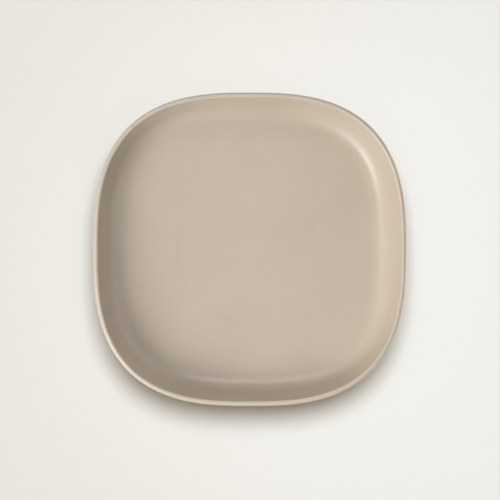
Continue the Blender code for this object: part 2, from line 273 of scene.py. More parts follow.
def startFinish(name, finish):
    # the moulded ground that every finish shares: tone, gloss and grain
    material = bpy.data.materials.new(name)
    material.use_nodes = True
    tree = material.node_tree
    shader = tree.nodes["Principled BSDF"]
    skin = addNode(tree, "ShaderNodeGroup", {"node_tree": mouldSkin})
    skin.inputs["Grain"].default_value = finish["grain"]
    skin.inputs["Cloud"].default_value = finishes["cloudScale"]
    drift = skin.outputs["Drift"]
    tone = tinted(tree, finish["deep"], drift, finish["light"])
    gloss = ramp(tree, drift, 0.0, 1.0, *finish["rough"], False)
    bump = addNode(
        tree, "ShaderNodeBump",
        Strength=finish["grainDepth"], Distance=finishes["grainHeight"], Height=skin.outputs["Height"],
    )
    tree.links.new(bump.outputs["Normal"], shader.inputs["Normal"])
    return material, tree, shader, tone, gloss


def endFinish(tree, shader, finish, tone, gloss):
    spots = specks(tree, finishes["speckScale"], finishes["speckSize"], finish["speckShare"])
    tree.links.new(tinted(tree, tone, spots, finishes["speckColour"]), shader.inputs["Base Color"])
    tree.links.new(gloss, shader.inputs["Roughness"])


def objectParts(tree):
    # height and distance from the upright axis
    place = addNode(tree, "ShaderNodeTexCoord").outputs["Object"]
    parts = addNode(tree, "ShaderNodeSeparateXYZ", Vector=place).outputs
    return parts["Z"], addLength(tree, addVector(tree, parts["X"], parts["Y"]))


def makePlatePlastic():
    finish = finishes["plate"]
    material, tree, shader, tone, gloss = startFinish("platePlastic", finish)
    height, radius = objectParts(tree)
    # a paler spot at the gate, and round it a painted pool of light
    for reach, strength in zip(finish["gateMarkAndPoolRadius"], finish["gateMarkAndPoolStrength"]):
        tone = tinted(tree, tone, ramp(tree, radius, 0.0, reach, strength, 0.0), finish["gateMarkAndLightPool"])
    # painted highlight: the rim's crest is made paler by height
    rimHighlight = ramp(tree, height, finish["rimHighlightFrom"], finish["rimHighlightTo"])
    tone = tinted(tree, tone, rimHighlight, finish["rimHighlight"])
    endFinish(tree, shader, finish, tone, gloss)
    return material


def makeBasePlastic():
    finish = finishes["base"]
    material, tree, shader, tone, gloss = startFinish("basePlastic", finish)
    endFinish(tree, shader, finish, tone, gloss)
    return material


def makeSilicone():
    finish = finishes["silicone"]
    material, tree, shader, tone, gloss = startFinish("silicone", finish)
    radius = objectParts(tree)[1]
    # the face that seals on the table is polished, the rest is matt and holds a little lint
    facing = addNode(tree, "ShaderNodeTexCoord").outputs["Normal"]
    downwards = addNode(tree, "ShaderNodeSeparateXYZ", Vector=facing).outputs["Z"]
    sealing = addMath(
        tree, "MULTIPLY",
        ramp(tree, downwards, *finish["sealFacing"], 1.0, 0.0),
        ramp(tree, radius, finish["sealRadius"] - finish["sealFade"], finish["sealRadius"], 1.0, 0.0),
    )
    lint = specks(tree, finish["lintScale"], finish["lintSize"], finish["lintShare"])
    tone = tinted(tree, tone, lint, finish["lint"])
    smooth = addNode(tree, "ShaderNodeMix", {"data_type": "FLOAT"})
    feed(tree, smooth.inputs["Factor"], sealing)
    feed(tree, smooth.inputs["A"], gloss)
    smooth.inputs["B"].default_value = finish["sealRough"]
    endFinish(tree, shader, finish, tone, smooth.outputs["Result"])
    return material


platePlastic = makePlatePlastic()
basePlastic = makeBasePlastic()
silicone = makeSilicone()
print("finishes made: plate plastic, base plastic, silicone")


# the dish: one section carried round a soft-square outline

dishShape = {
    "Width": 0.2,
    "Squareness": 2.76,  # 2 is a circle, higher is squarer
    "Wall": 0.003,
    "Depth": 0.021,
    "Floor Height": 0.0158,
    "Floor Inset": 0.0205,  # from the outline in to where the flat floor starts
    "Fillet": 0.013,
    "Ease Radius": 0.032,  # the floor starts to rise on this wider arc
    "Ease Angle": math.radians(9),
    "Rim Inner Round": 0.0014,
    "Rim Outer Round": 0.0019,
    "Corner Fullness": 0.065,  # how much nearer the outline the floor runs in the corners
    "Mark Radius": 0.0451,  # faint ring that the wall below leaves in the floor
    "Mark Width": 0.0036,
    "Mark Depth": 0.00005,
    "Mark Guard": 0.5,  # where the rows beside the mark lie, in half widths of it
    "Mark Steps": 9,
    "Edge Band": 0.002,  # floor that still follows the outline, before it turns round
    "Steps Around": 384,
    "Arc Steps": 22,
}


def makeDishTree():
    inputs = [(label, "Int" if "Steps" in label else "Float") for label in dishShape]
    tree, given, out = newShapeTree("softSquareDish", inputs)
    wall, fillet = given["Wall"], given["Fillet"]
    floor, inset = given["Floor Height"], given["Floor Inset"]
    innerRound, outerRound = given["Rim Inner Round"], given["Rim Outer Round"]
    rimTop = addMath(tree, "ADD", floor, given["Depth"])
    filletHeight = addMath(tree, "ADD", floor, fillet)
    outerFillet = addMath(tree, "ADD", fillet, wall)
    underside = addMath(tree, "SUBTRACT", floor, wall)
    innerHeight = addMath(tree, "SUBTRACT", rimTop, innerRound)
    outerHeight = addMath(tree, "SUBTRACT", rimTop, outerRound)
    crest = addMath(tree, "MULTIPLY", outerRound, -1.0)
    floorStart = addMath(tree, "MULTIPLY", inset, -1.0)

    # the wider arc ends where the fillet's own arc takes over
    easeRadius, easeAngle = given["Ease Radius"], given["Ease Angle"]
    wider = addMath(tree, "SUBTRACT", easeRadius, fillet)
    easeDrop = addMath(tree, "SUBTRACT", 1.0, addMath(tree, "COSINE", easeAngle))
    easeRise = addMath(tree, "MULTIPLY", wider, easeDrop)
    easeReach = addMath(tree, "MULTIPLY", wider, addMath(tree, "SINE", easeAngle))
    easeStart = addMath(tree, "SUBTRACT", floorStart, easeReach)
    easeHeight = addMath(tree, "ADD", floor, easeRadius)
    innerFilletHeight = addMath(tree, "ADD", filletHeight, easeRise)
    floorWithin = addMath(tree, "SUBTRACT", easeStart, given["Edge Band"])

    def wallLean(centreHeight, fromHeight, between):
        # lean of the straight wall that touches both the fillet and a rounding of the rim
        across = addMath(tree, "SUBTRACT", inset, outerRound)
        up = addMath(tree, "SUBTRACT", centreHeight, fromHeight)
        squares = addMath(tree, "MULTIPLY_ADD", across, across, addMath(tree, "MULTIPLY", up, up))
        span = addMath(tree, "SQRT", squares)
        opening = addMath(tree, "ARCCOSINE", addMath(tree, "DIVIDE", between, span))
        return addMath(tree, "SUBTRACT", opening, addMath(tree, "ARCTAN2", up, across))

    innerLean = wallLean(innerHeight, innerFilletHeight, addMath(tree, "ADD", fillet, innerRound))
    outerLean = wallLean(outerHeight, filletHeight, addMath(tree, "SUBTRACT", outerFillet, outerRound))
    right = math.pi / 2

    def line(fromX, fromY, toX, toY, onCircle):
        return addNode(
            tree, "GeometryNodeCurvePrimitiveLine",
            Start=addVector(tree, fromX, fromY, onCircle), End=addVector(tree, toX, toY, onCircle),
        ).outputs["Curve"]

    def arc(x, y, radius, start, sweep):
        bow = addNode(
            tree, "GeometryNodeCurveArc", {"mode": "RADIUS"},
            Resolution=given["Arc Steps"], Radius=radius, Start_Angle=start, Sweep_Angle=sweep,
        )
        return addNode(
            tree, "GeometryNodeTransform", Geometry=bow.outputs["Curve"], Translation=addVector(tree, x, y)
        ).outputs[0]

    # the mark, a shallow arc across three points, with a row of points on each side to keep the floor flat
    markRadius = given["Mark Radius"]
    markFloor = addMath(tree, "SUBTRACT", floor, given["Mark Depth"])
    markHalf = addMath(tree, "DIVIDE", given["Mark Width"], 2.0)
    markIn = addMath(tree, "SUBTRACT", markRadius, markHalf)
    markOut = addMath(tree, "ADD", markRadius, markHalf)
    guard = addMath(tree, "MULTIPLY", markHalf, given["Mark Guard"])
    mark = addNode(
        tree, "GeometryNodeCurveArc", {"mode": "POINTS"}, Resolution=given["Mark Steps"],
        Start=addVector(tree, markIn, floor, 1.0),
        Middle=addVector(tree, markRadius, markFloor, 1.0),
        End=addVector(tree, markOut, floor, 1.0),
    ).outputs["Curve"]

    # the section, from the middle of the floor over the rim to the middle of the underside
    innerSweep = addMath(tree, "SUBTRACT", right, innerLean)
    section = [
        line(0.0, floor, addMath(tree, "SUBTRACT", markIn, guard), floor, 1.0),
        mark,
        line(markOut, floor, addMath(tree, "ADD", markOut, guard), floor, 1.0),
        line(floorWithin, floor, easeStart, floor, 0.0),
        arc(easeStart, easeHeight, easeRadius, -right, easeAngle),
        arc(floorStart, innerFilletHeight, fillet, addMath(tree, "SUBTRACT", easeAngle, right),
            addMath(tree, "SUBTRACT", innerSweep, easeAngle)),
        arc(crest, innerHeight, innerRound, addMath(tree, "SUBTRACT", math.pi, innerLean),
            addMath(tree, "MULTIPLY", innerSweep, -1.0)),
        arc(crest, outerHeight, outerRound, right,
            addMath(tree, "SUBTRACT", -right, outerLean)),
        arc(floorStart, filletHeight, outerFillet, addMath(tree, "MULTIPLY", outerLean, -1.0),
            addMath(tree, "SUBTRACT", outerLean, right)),
        line(floorStart, underside, floorWithin, underside, 0.0),
        line(markRadius, underside, 0.0, underside, 1.0),
    ]
    joined = tree.nodes.new("GeometryNodeJoinGeometry")
    for curve in reversed(section):  # the last one linked comes first
        tree.links.new(curve, joined.inputs[0])
    counted = addNode(
        tree, "GeometryNodeAttributeDomainSize", {"component": "CURVE"}, Geometry=joined.outputs[0]
    )

    # a sheet with a row for each section point and a column for each step round
    columns = addMath(tree, "ADD", given["Steps Around"], 1.0)
    sheet = addNode(tree, "GeometryNodeMeshGrid", Size_X=1.0, Size_Y=1.0)
    tree.links.new(counted.outputs["Point Count"], sheet.inputs["Vertices X"])
    tree.links.new(columns, sheet.inputs["Vertices Y"])
    index = tree.nodes.new("GeometryNodeInputIndex").outputs[0]
    row = addMath(tree, "FLOOR", addMath(tree, "DIVIDE", addMath(tree, "ADD", index, 0.5), columns))
    column = addMath(tree, "SUBTRACT", index, addMath(tree, "MULTIPLY", row, columns))
    sampled = addNode(
        tree, "GeometryNodeSampleIndex", {"data_type": "FLOAT_VECTOR", "domain": "POINT"},
        Geometry=joined.outputs[0], Value=tree.nodes.new("GeometryNodeInputPosition").outputs[0], Index=row,
    )
    point = addNode(tree, "ShaderNodeSeparateXYZ", Vector=sampled.outputs[0]).outputs

    # superellipse outline and its normal at this column's angle
    angle = addMath(tree, "DIVIDE", addMath(tree, "MULTIPLY", column, math.tau), given["Steps Around"])
    cosine, sine = addMath(tree, "COSINE", angle), addMath(tree, "SINE", angle)
    power = given["Squareness"]
    slope = addMath(tree, "SUBTRACT", power, 1.0)
    absCosine, absSine = addMath(tree, "ABSOLUTE", cosine), addMath(tree, "ABSOLUTE", sine)
    powerX, powerY = addMath(tree, "POWER", absCosine, power), addMath(tree, "POWER", absSine, power)
    total = addMath(tree, "ADD", powerX, powerY)
    reach = addMath(tree, "POWER", total, addMath(tree, "DIVIDE", -1.0, power))
    reach = addMath(tree, "MULTIPLY", reach, addMath(tree, "DIVIDE", given["Width"], 2.0))
    slopeX, slopeY = addMath(tree, "POWER", absCosine, slope), addMath(tree, "POWER", absSine, slope)
    normalX = addMath(tree, "MULTIPLY", slopeX, addMath(tree, "SIGN", cosine))
    normalY = addMath(tree, "MULTIPLY", slopeY, addMath(tree, "SIGN", sine))
    normal = addVectorMath(tree, "NORMALIZE", addVector(tree, normalX, normalY))
    ray = addVector(tree, cosine, sine)

    # towards the corners everything inside the rim moves out a little
    diagonal = addMath(tree, "SINE", addMath(tree, "MULTIPLY", angle, 2.0))
    towardsCorner = addMath(tree, "MULTIPLY", diagonal, diagonal)
    cornered = addMath(tree, "MULTIPLY", towardsCorner, given["Corner Fullness"])
    inside = addMath(tree, "SUBTRACT", addMath(tree, "MULTIPLY", point["X"], -1.0), wall)
    within = addMath(tree, "MAXIMUM", inside, 0.0)
    offset = addMath(tree, "MULTIPLY_ADD", within, cornered, point["X"])
    onOutline = addVectorMath(tree, "ADD", addScaled(tree, ray, reach), addScaled(tree, normal, offset))
    onCircle = addScaled(tree, ray, point["X"])
    across = addNode(tree, "ShaderNodeMix", {"data_type": "VECTOR"})
    tree.links.new(point["Z"], across.inputs["Factor"])
    tree.links.new(onOutline, across.inputs[4])
    tree.links.new(onCircle, across.inputs[5])
    place = addVectorMath(tree, "ADD", across.outputs[1], addVector(tree, 0.0, 0.0, point["Y"]))
    shaped = addNode(tree, "GeometryNodeSetPosition", Geometry=sheet.outputs["Mesh"], Position=place)
    welded = addNode(
        tree, "GeometryNodeMergeByDistance", Geometry=shaped.outputs[0], Distance=meshLimits["weld"]
    )
    closeTree(tree, welded.outputs[0], given["Material"], out)
    return tree


dish = runTree("dishPlate", makeDishTree(), dishShape, platePlastic)
outward(dish)
dish.data.shade_smooth()
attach(dish, "plate")
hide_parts("plate")
print("dish made:", len(dish.data.polygons), "faces")


# turned pieces: a loop of corners, each softened by its own radius

def softened(corners, steps=6):
    points = []
    count = len(corners)
    for index, (x, y, radius) in enumerate(corners):
        here = Vector((x, y))
        if radius <= 0:
            points.append(here)
            continue
        before = (Vector(corners[index - 1][:2]) - here).normalized()
        after = (Vector(corners[(index + 1) % count][:2]) - here).normalized()
        half = before.angle(after) / 2
        trim = radius / math.tan(half)
        centre = here + (before + after).normalized() * (radius / math.sin(half))
        first, last = here + before * trim - centre, here + after * trim - centre
        sweep = first.angle_signed(last)
        for step in range(steps + 1):
            points.append(centre + Matrix.Rotation(-sweep * step / steps, 2) @ first)
    return points


def turn(name, points, stepsAround, closed):
    mesh = bpy.data.meshes.new(name)
    edges = [(index, index + 1) for index in range(len(points) - 1)]
    if closed:
        edges.append((len(points) - 1, 0))
    mesh.from_pydata([(point.x, 0, point.y) for point in points], edges, [])
    obj = bpy.data.objects.new(name, mesh)
    pieceCollection.objects.link(obj)
    screw = obj.modifiers.new("Turn", "SCREW")
    screw.steps = stepsAround
    screw.render_steps = stepsAround
    screw.use_merge_vertices = True
    screw.merge_threshold = meshLimits["seamWeld"]
    return outward(settle(obj))


def arcBlock(name, inner, outer, bottom, top, start, sweep, steps=14):
    # a block swept about the upright axis, angles in degrees
    bm = bmesh.new()
    along = Vector((math.cos(math.radians(start)), math.sin(math.radians(start)), 0))
    corners = ((inner, bottom), (outer, bottom), (outer, top), (inner, top))
    points = [along * radius + Vector((0, 0, height)) for radius, height in corners]
    face = bm.faces.new([bm.verts.new(point) for point in points])
    bmesh.ops.spin(bm, geom=[face], axis=(0, 0, 1), cent=(0, 0, 0), angle=math.radians(sweep), steps=steps)
    bmesh.ops.recalc_face_normals(bm, faces=bm.faces)
    mesh = bpy.data.meshes.new(name)
    bm.to_mesh(mesh)
    bm.free()
    return mesh


def makeCopiesTree():
    # copies of the given shape, evenly turned about the upright axis
    tree, given, out = newShapeTree("copiesRoundAxis", [("Count", "Int")])
    spots = addNode(tree, "GeometryNodePoints", Count=given["Count"])
    index = tree.nodes.new("GeometryNodeInputIndex").outputs[0]
    angle = addMath(tree, "DIVIDE", addMath(tree, "MULTIPLY", index, math.tau), given["Count"])
    copies = addNode(
        tree, "GeometryNodeInstanceOnPoints",
        Points=spots.outputs[0], Instance=given["Geometry"], Rotation=addVector(tree, 0.0, 0.0, angle),
    )
    closeTree(tree, copies.outputs[0], given["Material"], out)
    return tree


def inOrder(obj):
    # a join leaves points and faces in any order, so they are sorted to come out the same each run
    mesh = obj.data
    digits = meshLimits["sortDigits"]
    spots = [tuple(round(value, digits) for value in vert.co) for vert in mesh.vertices]
    points = [vert.co.copy() for vert in mesh.vertices]
    order = sorted(range(len(spots)), key=spots.__getitem__)
    rank = {old: new for new, old in enumerate(order)}
    faces = []
    for polygon in mesh.polygons:
        corners = [rank[index] for index in polygon.vertices]
        first = corners.index(min(corners))
        faces.append(corners[first:] + corners[:first])
    mesh.clear_geometry()
    mesh.from_pydata([points[index] for index in order], [], sorted(faces))
    return obj


def unite(obj, helper):
    joiner = obj.modifiers.new("Join", "BOOLEAN")
    joiner.operation = "UNION"
    joiner.solver = "EXACT"
    joiner.object = helper
    settle(obj)
    bpy.data.objects.remove(helper)
    return outward(inOrder(obj))


copiesTree = makeCopiesTree()

lockShape = {
    "Count": 3,
    "ledge": (0.0421, 0.0451, 0.008, 0.0096, 0.4, 39.2),  # inner, outer, bottom, top, start, sweep
    "stop": (0.0424, 0.0451, 0.0088, 0.0117, 35.5, 4),
    "lug": (0.0407, 0.0436, 0.0099, 0.0117, 1, 34),
}

ringShape = {
    "inner": 0.0439, "outer": 0.0463, "bottom": 0.0076, "top": 0.0125,
    "outerRound": 0.0005, "innerRound": 0.00025, "steps": 216,
}


def makeSocketRing():
    s = ringShape
    corners = [
        (s["inner"], s["top"], 0), (s["outer"], s["top"], 0),
        (s["outer"], s["bottom"], s["outerRound"]), (s["inner"], s["bottom"], s["innerRound"]),
    ]
    ring = turn("socketRing", softened(corners), s["steps"], True)
    for part in ("ledge", "stop"):
        block = arcBlock(part, *lockShape[part])
        unite(ring, runTree(part, copiesTree, lockShape, basePlastic, block))
    return paint(shade(ring), basePlastic)


socketRing = makeSocketRing()
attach(socketRing, "plate")
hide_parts("socket_ring")
print("socket ring made:", len(socketRing.data.polygons), "faces")


hubShape = {
    "spigotInner": 0.0396, "spigotOuter": 0.0418, "top": 0.0125,
    "gripRadius": 0.0485, "gripTop": 0.0073, "bottom": 0.0043,
    "webOpening": 0.034, "webTop": 0.0063,
    "snapReach": 0.0007, "snapBottom": 0.0107, "snapRise": 0.00035, "snapTop": 0.0117, "snapRound": 0.0002,
    "topInnerRound": 0.0004, "topOuterRound": 0.0005, "rootRound": 0.0004, "gripRound": 0.0006,
    "webRound": 0.0003, "roundSteps": 4, "steps": 576,
}

fluteShape = {
    "Flutes": 36, "Flute Depth": 0.0007, "Flute Width": 0.0032,
    "Grip Radius": hubShape["gripRadius"],
    "From Radius": 0.0468,  # only what lies further out is pulled in
}


def makeFluteTree():
    # pulls the grip's edge in where a flute passes
    tree, given, out = newShapeTree(
        "flutedGrip", [(label, "Int" if label == "Flutes" else "Float") for label in fluteShape]
    )
    place = tree.nodes.new("GeometryNodeInputPosition").outputs[0]
    parts = addNode(tree, "ShaderNodeSeparateXYZ", Vector=place).outputs
    flat = addVector(tree, parts["X"], parts["Y"])
    angle = addMath(tree, "ARCTAN2", parts["Y"], parts["X"])
    turns = addMath(tree, "MULTIPLY", addMath(tree, "DIVIDE", angle, math.tau), given["Flutes"])
    phase = addMath(tree, "SUBTRACT", addMath(tree, "FRACT", turns), 0.5)
    girth = addMath(tree, "MULTIPLY", given["Grip Radius"], math.tau)
    pitch = addMath(tree, "DIVIDE", girth, given["Flutes"])
    offCentre = addMath(tree, "DIVIDE", addMath(tree, "MULTIPLY", phase, pitch), given["Flute Width"])
    square = addMath(tree, "MULTIPLY", addMath(tree, "MULTIPLY", offCentre, offCentre), 4.0)
    scoop = addMath(tree, "MAXIMUM", addMath(tree, "SUBTRACT", 1.0, square), 0.0)
    pull = addMath(tree, "MULTIPLY", addMath(tree, "MULTIPLY", scoop, given["Flute Depth"]), -1.0)
    inwards = addScaled(tree, addVectorMath(tree, "NORMALIZE", flat), pull)
    chosen = addNode(tree, "FunctionNodeCompare", {"data_type": "FLOAT", "operation": "GREATER_THAN"})
    tree.links.new(addLength(tree, flat), chosen.inputs["A"])
    tree.links.new(given["From Radius"], chosen.inputs["B"])
    moved = addNode(
        tree, "GeometryNodeSetPosition",
        Geometry=given["Geometry"], Selection=chosen.outputs[0], Offset=inwards,
    )
    closeTree(tree, moved.outputs[0], given["Material"], out)
    return tree


def makeTwistHub():
    s = hubShape
    corners = [
        (s["spigotInner"], s["top"], s["topInnerRound"]), (s["spigotOuter"], s["top"], s["topOuterRound"]),
        (s["spigotOuter"], s["gripTop"], s["rootRound"]), (s["gripRadius"], s["gripTop"], s["gripRound"]),
        (s["gripRadius"], s["bottom"], s["gripRound"]), (s["webOpening"], s["bottom"], s["webRound"]),
        (s["webOpening"], s["webTop"], s["webRound"]), (s["spigotInner"], s["webTop"], s["webRound"]),
        (s["spigotInner"], s["snapBottom"], 0),
        (s["spigotInner"] - s["snapReach"], s["snapBottom"] + s["snapRise"], s["snapRound"]),
        (s["spigotInner"], s["snapTop"], 0),
    ]
    plain = turn("hubTurned", softened(corners, s["roundSteps"]), s["steps"], True)
    hub = runTree("twistHub", makeFluteTree(), fluteShape, basePlastic, plain.data)
    bpy.data.objects.remove(plain)
    lugs = runTree("lug", copiesTree, lockShape, basePlastic, arcBlock("lug", *lockShape["lug"]))
    unite(hub, lugs)
    return paint(shade(hub), basePlastic)


twistHub = makeTwistHub()
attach(twistHub, "suction_base")
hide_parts("twist_hub")
print("twist hub made:", len(twistHub.data.polygons), "faces")


clampShape = {
    "radius": 0.0393, "bottom": 0.0084, "top": 0.0104,
    "padOuter": 0.0304, "padInner": 0.0284, "padBottom": 0.0043,
    "topRound": 0.0004, "padRound": 0.0004, "innerRound": 0.0003, "roundSteps": 4, "steps": 180,
}


def makeClampDisc():
    s = clampShape
    corners = [
        (0, s["top"], 0),
        (s["radius"], s["top"], s["topRound"]), (s["radius"], s["bottom"], s["innerRound"]),
        (s["padOuter"], s["bottom"], s["innerRound"]), (s["padOuter"], s["padBottom"], s["padRound"]),
        (s["padInner"], s["padBottom"], s["padRound"]), (s["padInner"], s["bottom"], s["innerRound"]),
        (0, s["bottom"], 0),
    ]
    disc = turn("clampDisc", softened(corners, s["roundSteps"]), s["steps"], False)
    return paint(shade(disc), basePlastic)


clampDisc = makeClampDisc()
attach(clampDisc, "suction_base")
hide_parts("clamp_plate")
print("clamp disc made:", len(clampDisc.data.polygons), "faces")


# the silicone moulding: disc with its trapped bead, skirt and lip in one

cupShape = {
    "discTop": 0.004, "discBottom": 0.0024,
    "upstandInner": 0.0307, "upstandOuter": 0.0337,
    "beadOuter": 0.0375, "beadBottom": 0.0066, "beadTop": 0.0081,
    "skirtStart": 0.0387, "lipStart": 0.053, "lipStartTop": 0.00173,
    "lipRadius": 0.0585, "lipThickness": 0.001, "landStart": 0.0553, "steps": 240,
    "upstandRound": 0.0005, "beadRound": 0.0006, "beadRootRound": 0.0003, "upstandRootRound": 0.0002,
    "shoulderBend": 0.008, "skirtBend": 0.012, "landBend": 0.006,  # wide bends of the skirt
    "lipRound": 0.48,  # of the lip's thickness
    "grooves": (0.0335, 0.0245, 0.0155), "grooveWidth": 0.0018, "grooveDepth": 0.0005,  # under the disc
    "grooveRound": 0.0005, "grooveEdge": 0.0004,
    "gateRadius": 0.0028, "gateDepth": 0.0004, "gateRound": 0.0003,  # dimple where the mould was filled
}


def makeSiliconeCup():
    s = cupShape
    lipRound = s["lipThickness"] * s["lipRound"]
    corners = [
        (0, s["discTop"], 0),
        (s["upstandInner"], s["discTop"], s["upstandRound"]),
        (s["upstandInner"], s["beadTop"], s["upstandRound"]),
        (s["beadOuter"], s["beadTop"], s["beadRound"]),
        (s["beadOuter"], s["beadBottom"], s["beadRound"]),
        (s["upstandOuter"], s["beadBottom"], s["beadRootRound"]),
        (s["upstandOuter"], s["discTop"], s["upstandRootRound"]),
        (s["skirtStart"], s["discTop"], s["shoulderBend"]),
        (s["lipStart"], s["lipStartTop"], s["skirtBend"]),
        (s["lipRadius"], s["lipThickness"], lipRound),
        (s["lipRadius"], 0, lipRound),
        (s["landStart"], 0, s["landBend"]),
        (s["skirtStart"], s["discBottom"], s["skirtBend"]),
    ]
    for radius in s["grooves"]:
        corners += [
            (radius + s["grooveWidth"] / 2, s["discBottom"], s["grooveEdge"]),
            (radius, s["discBottom"] + s["grooveDepth"], s["grooveRound"]),
            (radius - s["grooveWidth"] / 2, s["discBottom"], s["grooveEdge"]),
        ]
    gateTop = s["discBottom"] + s["gateDepth"]
    corners += [
        (s["gateRadius"], s["discBottom"], s["gateRound"]),
        (s["gateRadius"] - s["gateDepth"], gateTop, s["gateRound"]),
        (0, gateTop, 0),
    ]
    return paint(shade(turn("siliconeCup", softened(corners), s["steps"], False)), silicone)


siliconeCup = makeSiliconeCup()
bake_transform(siliconeCup)
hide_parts("suction_cup", "cup_skirt", "sealing_lip")
print("silicone cup made:", len(siliconeCup.data.polygons), "faces")


# the pull tab, flat along -Y while it is made, then tilted up from the lip

tabShape = {
    "length": 0.016, "width": 0.015, "flare": 0.003, "thickness": 0.0016, "edge": 0.0006,
    "tilt": math.radians(8), "hinge": (0, -0.0588, 0.0011),
    "overlap": 0.002, "shoulder": 0.0007, "rootEdge": 0.0004, "rootThickness": 0.00095,  # inside the lip
    "rootFrom": 0.0005, "rootTo": -0.0045, "rootCuts": 10, "sideCuts": 8,  # where it thickens to the tab
    "rootWeld": 0.00003, "outlineSteps": 16, "edgeSteps": 4, "smoothAngle": 50,
    "ribInset": 0.0018, "ribRadius": 0.0006, "ribSides": 20, "ribRings": 12,
}

ribShape = {"Count": 3, "First": -0.012, "Pitch": tabShape["length"] / 6, "Height": 0.0008}


def makeRibTree():
    # copies of one rib along the tab
    tree, given, out = newShapeTree(
        "tabRibs", [(label, "Int" if label == "Count" else "Float") for label in ribShape]
    )
    spots = addNode(
        tree, "GeometryNodeMeshLine", Count=given["Count"],
        Start_Location=addVector(tree, 0.0, given["First"], given["Height"]),
        Offset=addVector(tree, 0.0, given["Pitch"], 0.0),
    )
    copies = addNode(
        tree, "GeometryNodeInstanceOnPoints", Points=spots.outputs[0], Instance=given["Geometry"]
    )
    closeTree(tree, copies.outputs[0], given["Material"], out)
    return tree


def makeRib():
    # a rod with round ends, lying along X
    s = tabShape
    stretch = (s["width"] - 2 * s["ribInset"]) / 2 - s["ribRadius"]
    bm = bmesh.new()
    bmesh.ops.create_uvsphere(
        bm, u_segments=s["ribSides"], v_segments=s["ribRings"], radius=s["ribRadius"]
    )
    for vert in bm.verts:
        vert.co = Vector((vert.co.z, vert.co.y, -vert.co.x))
        if abs(vert.co.x) > meshLimits["middle"]:
            vert.co.x += math.copysign(stretch, vert.co.x)
    mesh = bpy.data.meshes.new("rib")
    bm.to_mesh(mesh)
    bm.free()
    return mesh


def bendRoot(tab, reach):
    # thins the tab's root, lays it level in the lip and bows it to the lip's round edge
    s = tabShape
    bm = bmesh.new()
    bm.from_mesh(tab.data)
    lipRadius, lipMiddle = cupShape["lipRadius"], cupShape["lipThickness"] / 2
    rootLength = s["rootFrom"] - s["rootTo"]
    cuts = []
    for step in range(s["rootCuts"] + 1):
        cuts.append(((0, s["rootTo"] + rootLength * step / s["rootCuts"], 0), (0, 1, 0)))
    for step in range(1, s["sideCuts"]):
        cuts.append(((reach * (2 * step / s["sideCuts"] - 1), 0, 0), (1, 0, 0)))
    for point, across in cuts:
        # the cuts across the width stay in the root
        faces = [face for face in bm.faces if across[1] or face.calc_center_median().y > s["rootTo"]]
        parts = dict.fromkeys(part for face in faces for part in (face, *face.edges, *face.verts))
        bmesh.ops.bisect_plane(
            bm, geom=list(parts), dist=meshLimits["cutSnap"], plane_co=point, plane_no=across
        )
    bmesh.ops.remove_doubles(bm, verts=bm.verts, dist=s["rootWeld"])
    for vert in bm.verts:
        x, y, z = vert.co
        share = min(max((y - s["rootTo"]) / rootLength, 0), 1)
        share = share * share * (3 - 2 * share)  # eases in and out
        bowed = share * (lipRadius - math.sqrt(lipRadius ** 2 - x ** 2))
        thinned = z * (1 - share + share * s["rootThickness"] / s["thickness"])
        lowered = share * (lipMiddle - s["hinge"][2] + (y + bowed) * math.tan(s["tilt"]))
        vert.co = (x, y + bowed, thinned + lowered)
    bm.to_mesh(tab.data)
    bm.free()


def makeReleaseTab():
    s = tabShape
    half = s["width"] / 2
    wide = half + s["flare"] + s["shoulder"]
    outline = [
        (wide, s["overlap"], 0), (-wide, s["overlap"], 0),
        (-wide, s["rootEdge"], 0), (-half, s["rootEdge"], s["flare"]),
        (-half, -s["length"], half), (half, -s["length"], half),
        (half, s["rootEdge"], s["flare"]), (wide, s["rootEdge"], 0),
    ]
    loop = softened(outline, s["outlineSteps"])
    points = []
    for point, before in zip(loop, loop[-1:] + loop):
        if (point - before).length > meshLimits["sameSpot"]:
            points.append(point)
    bm = bmesh.new()
    face = bm.faces.new([bm.verts.new((point.x, point.y, -s["thickness"] / 2)) for point in points])
    raised = bmesh.ops.extrude_face_region(bm, geom=[face])["geom"]
    upper = [part for part in raised if isinstance(part, bmesh.types.BMVert)]
    bmesh.ops.translate(bm, vec=(0, 0, s["thickness"]), verts=upper)
    bmesh.ops.recalc_face_normals(bm, faces=bm.faces)
    rims = [edge for edge in bm.edges if edge.verts[0].co.z == edge.verts[1].co.z]
    bmesh.ops.bevel(
        bm, geom=rims, offset=s["edge"], segments=s["edgeSteps"], profile=0.5,
        affect="EDGES", clamp_overlap=False,
    )
    mesh = bpy.data.meshes.new("releaseTab")
    bm.to_mesh(mesh)
    bm.free()
    tab = bpy.data.objects.new("releaseTab", mesh)
    pieceCollection.objects.link(tab)
    bendRoot(inOrder(tab), wide)
    unite(tab, runTree("ribs", makeRibTree(), ribShape, silicone, makeRib()))
    tab.data.transform(Matrix.Translation(s["hinge"]) @ Matrix.Rotation(-s["tilt"], 4, "X"))
    return paint(shade(tab, s["smoothAngle"]), silicone)


releaseTab = makeReleaseTab()
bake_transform(releaseTab)
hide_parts("release_tab")
print("release tab made:", len(releaseTab.data.polygons), "faces")


# floor, lights and camera

studio = {
    "floorPale": (0.645, 0.635, 0.602),
    "floorDeep": (0.595, 0.575, 0.525),  # painted pool of light: the floor is darker away from the pale spot
    "floorLightPool": (0.12, -0.02, 0),
    "floorLightPoolReach": (0.08, 0.36),  # distances from the spot where the change starts and ends
    "floorRough": 0.9,
    "floorHalf": 4,  # metres from the middle to a side
    "floorDrop": 0.0001,  # just clear of the lip
    "floorOwnLight": 0.03,  # share of the floor's brightness that shadow can't take away
    "ownColour": (0.87, 0.77, 0.64),
    "skyLight": 0.06,
    "skyLightColour": (1.0, 0.97, 0.93),
    "skyColour": (0.87, 0.855, 0.81),  # the pale background that is seen
}

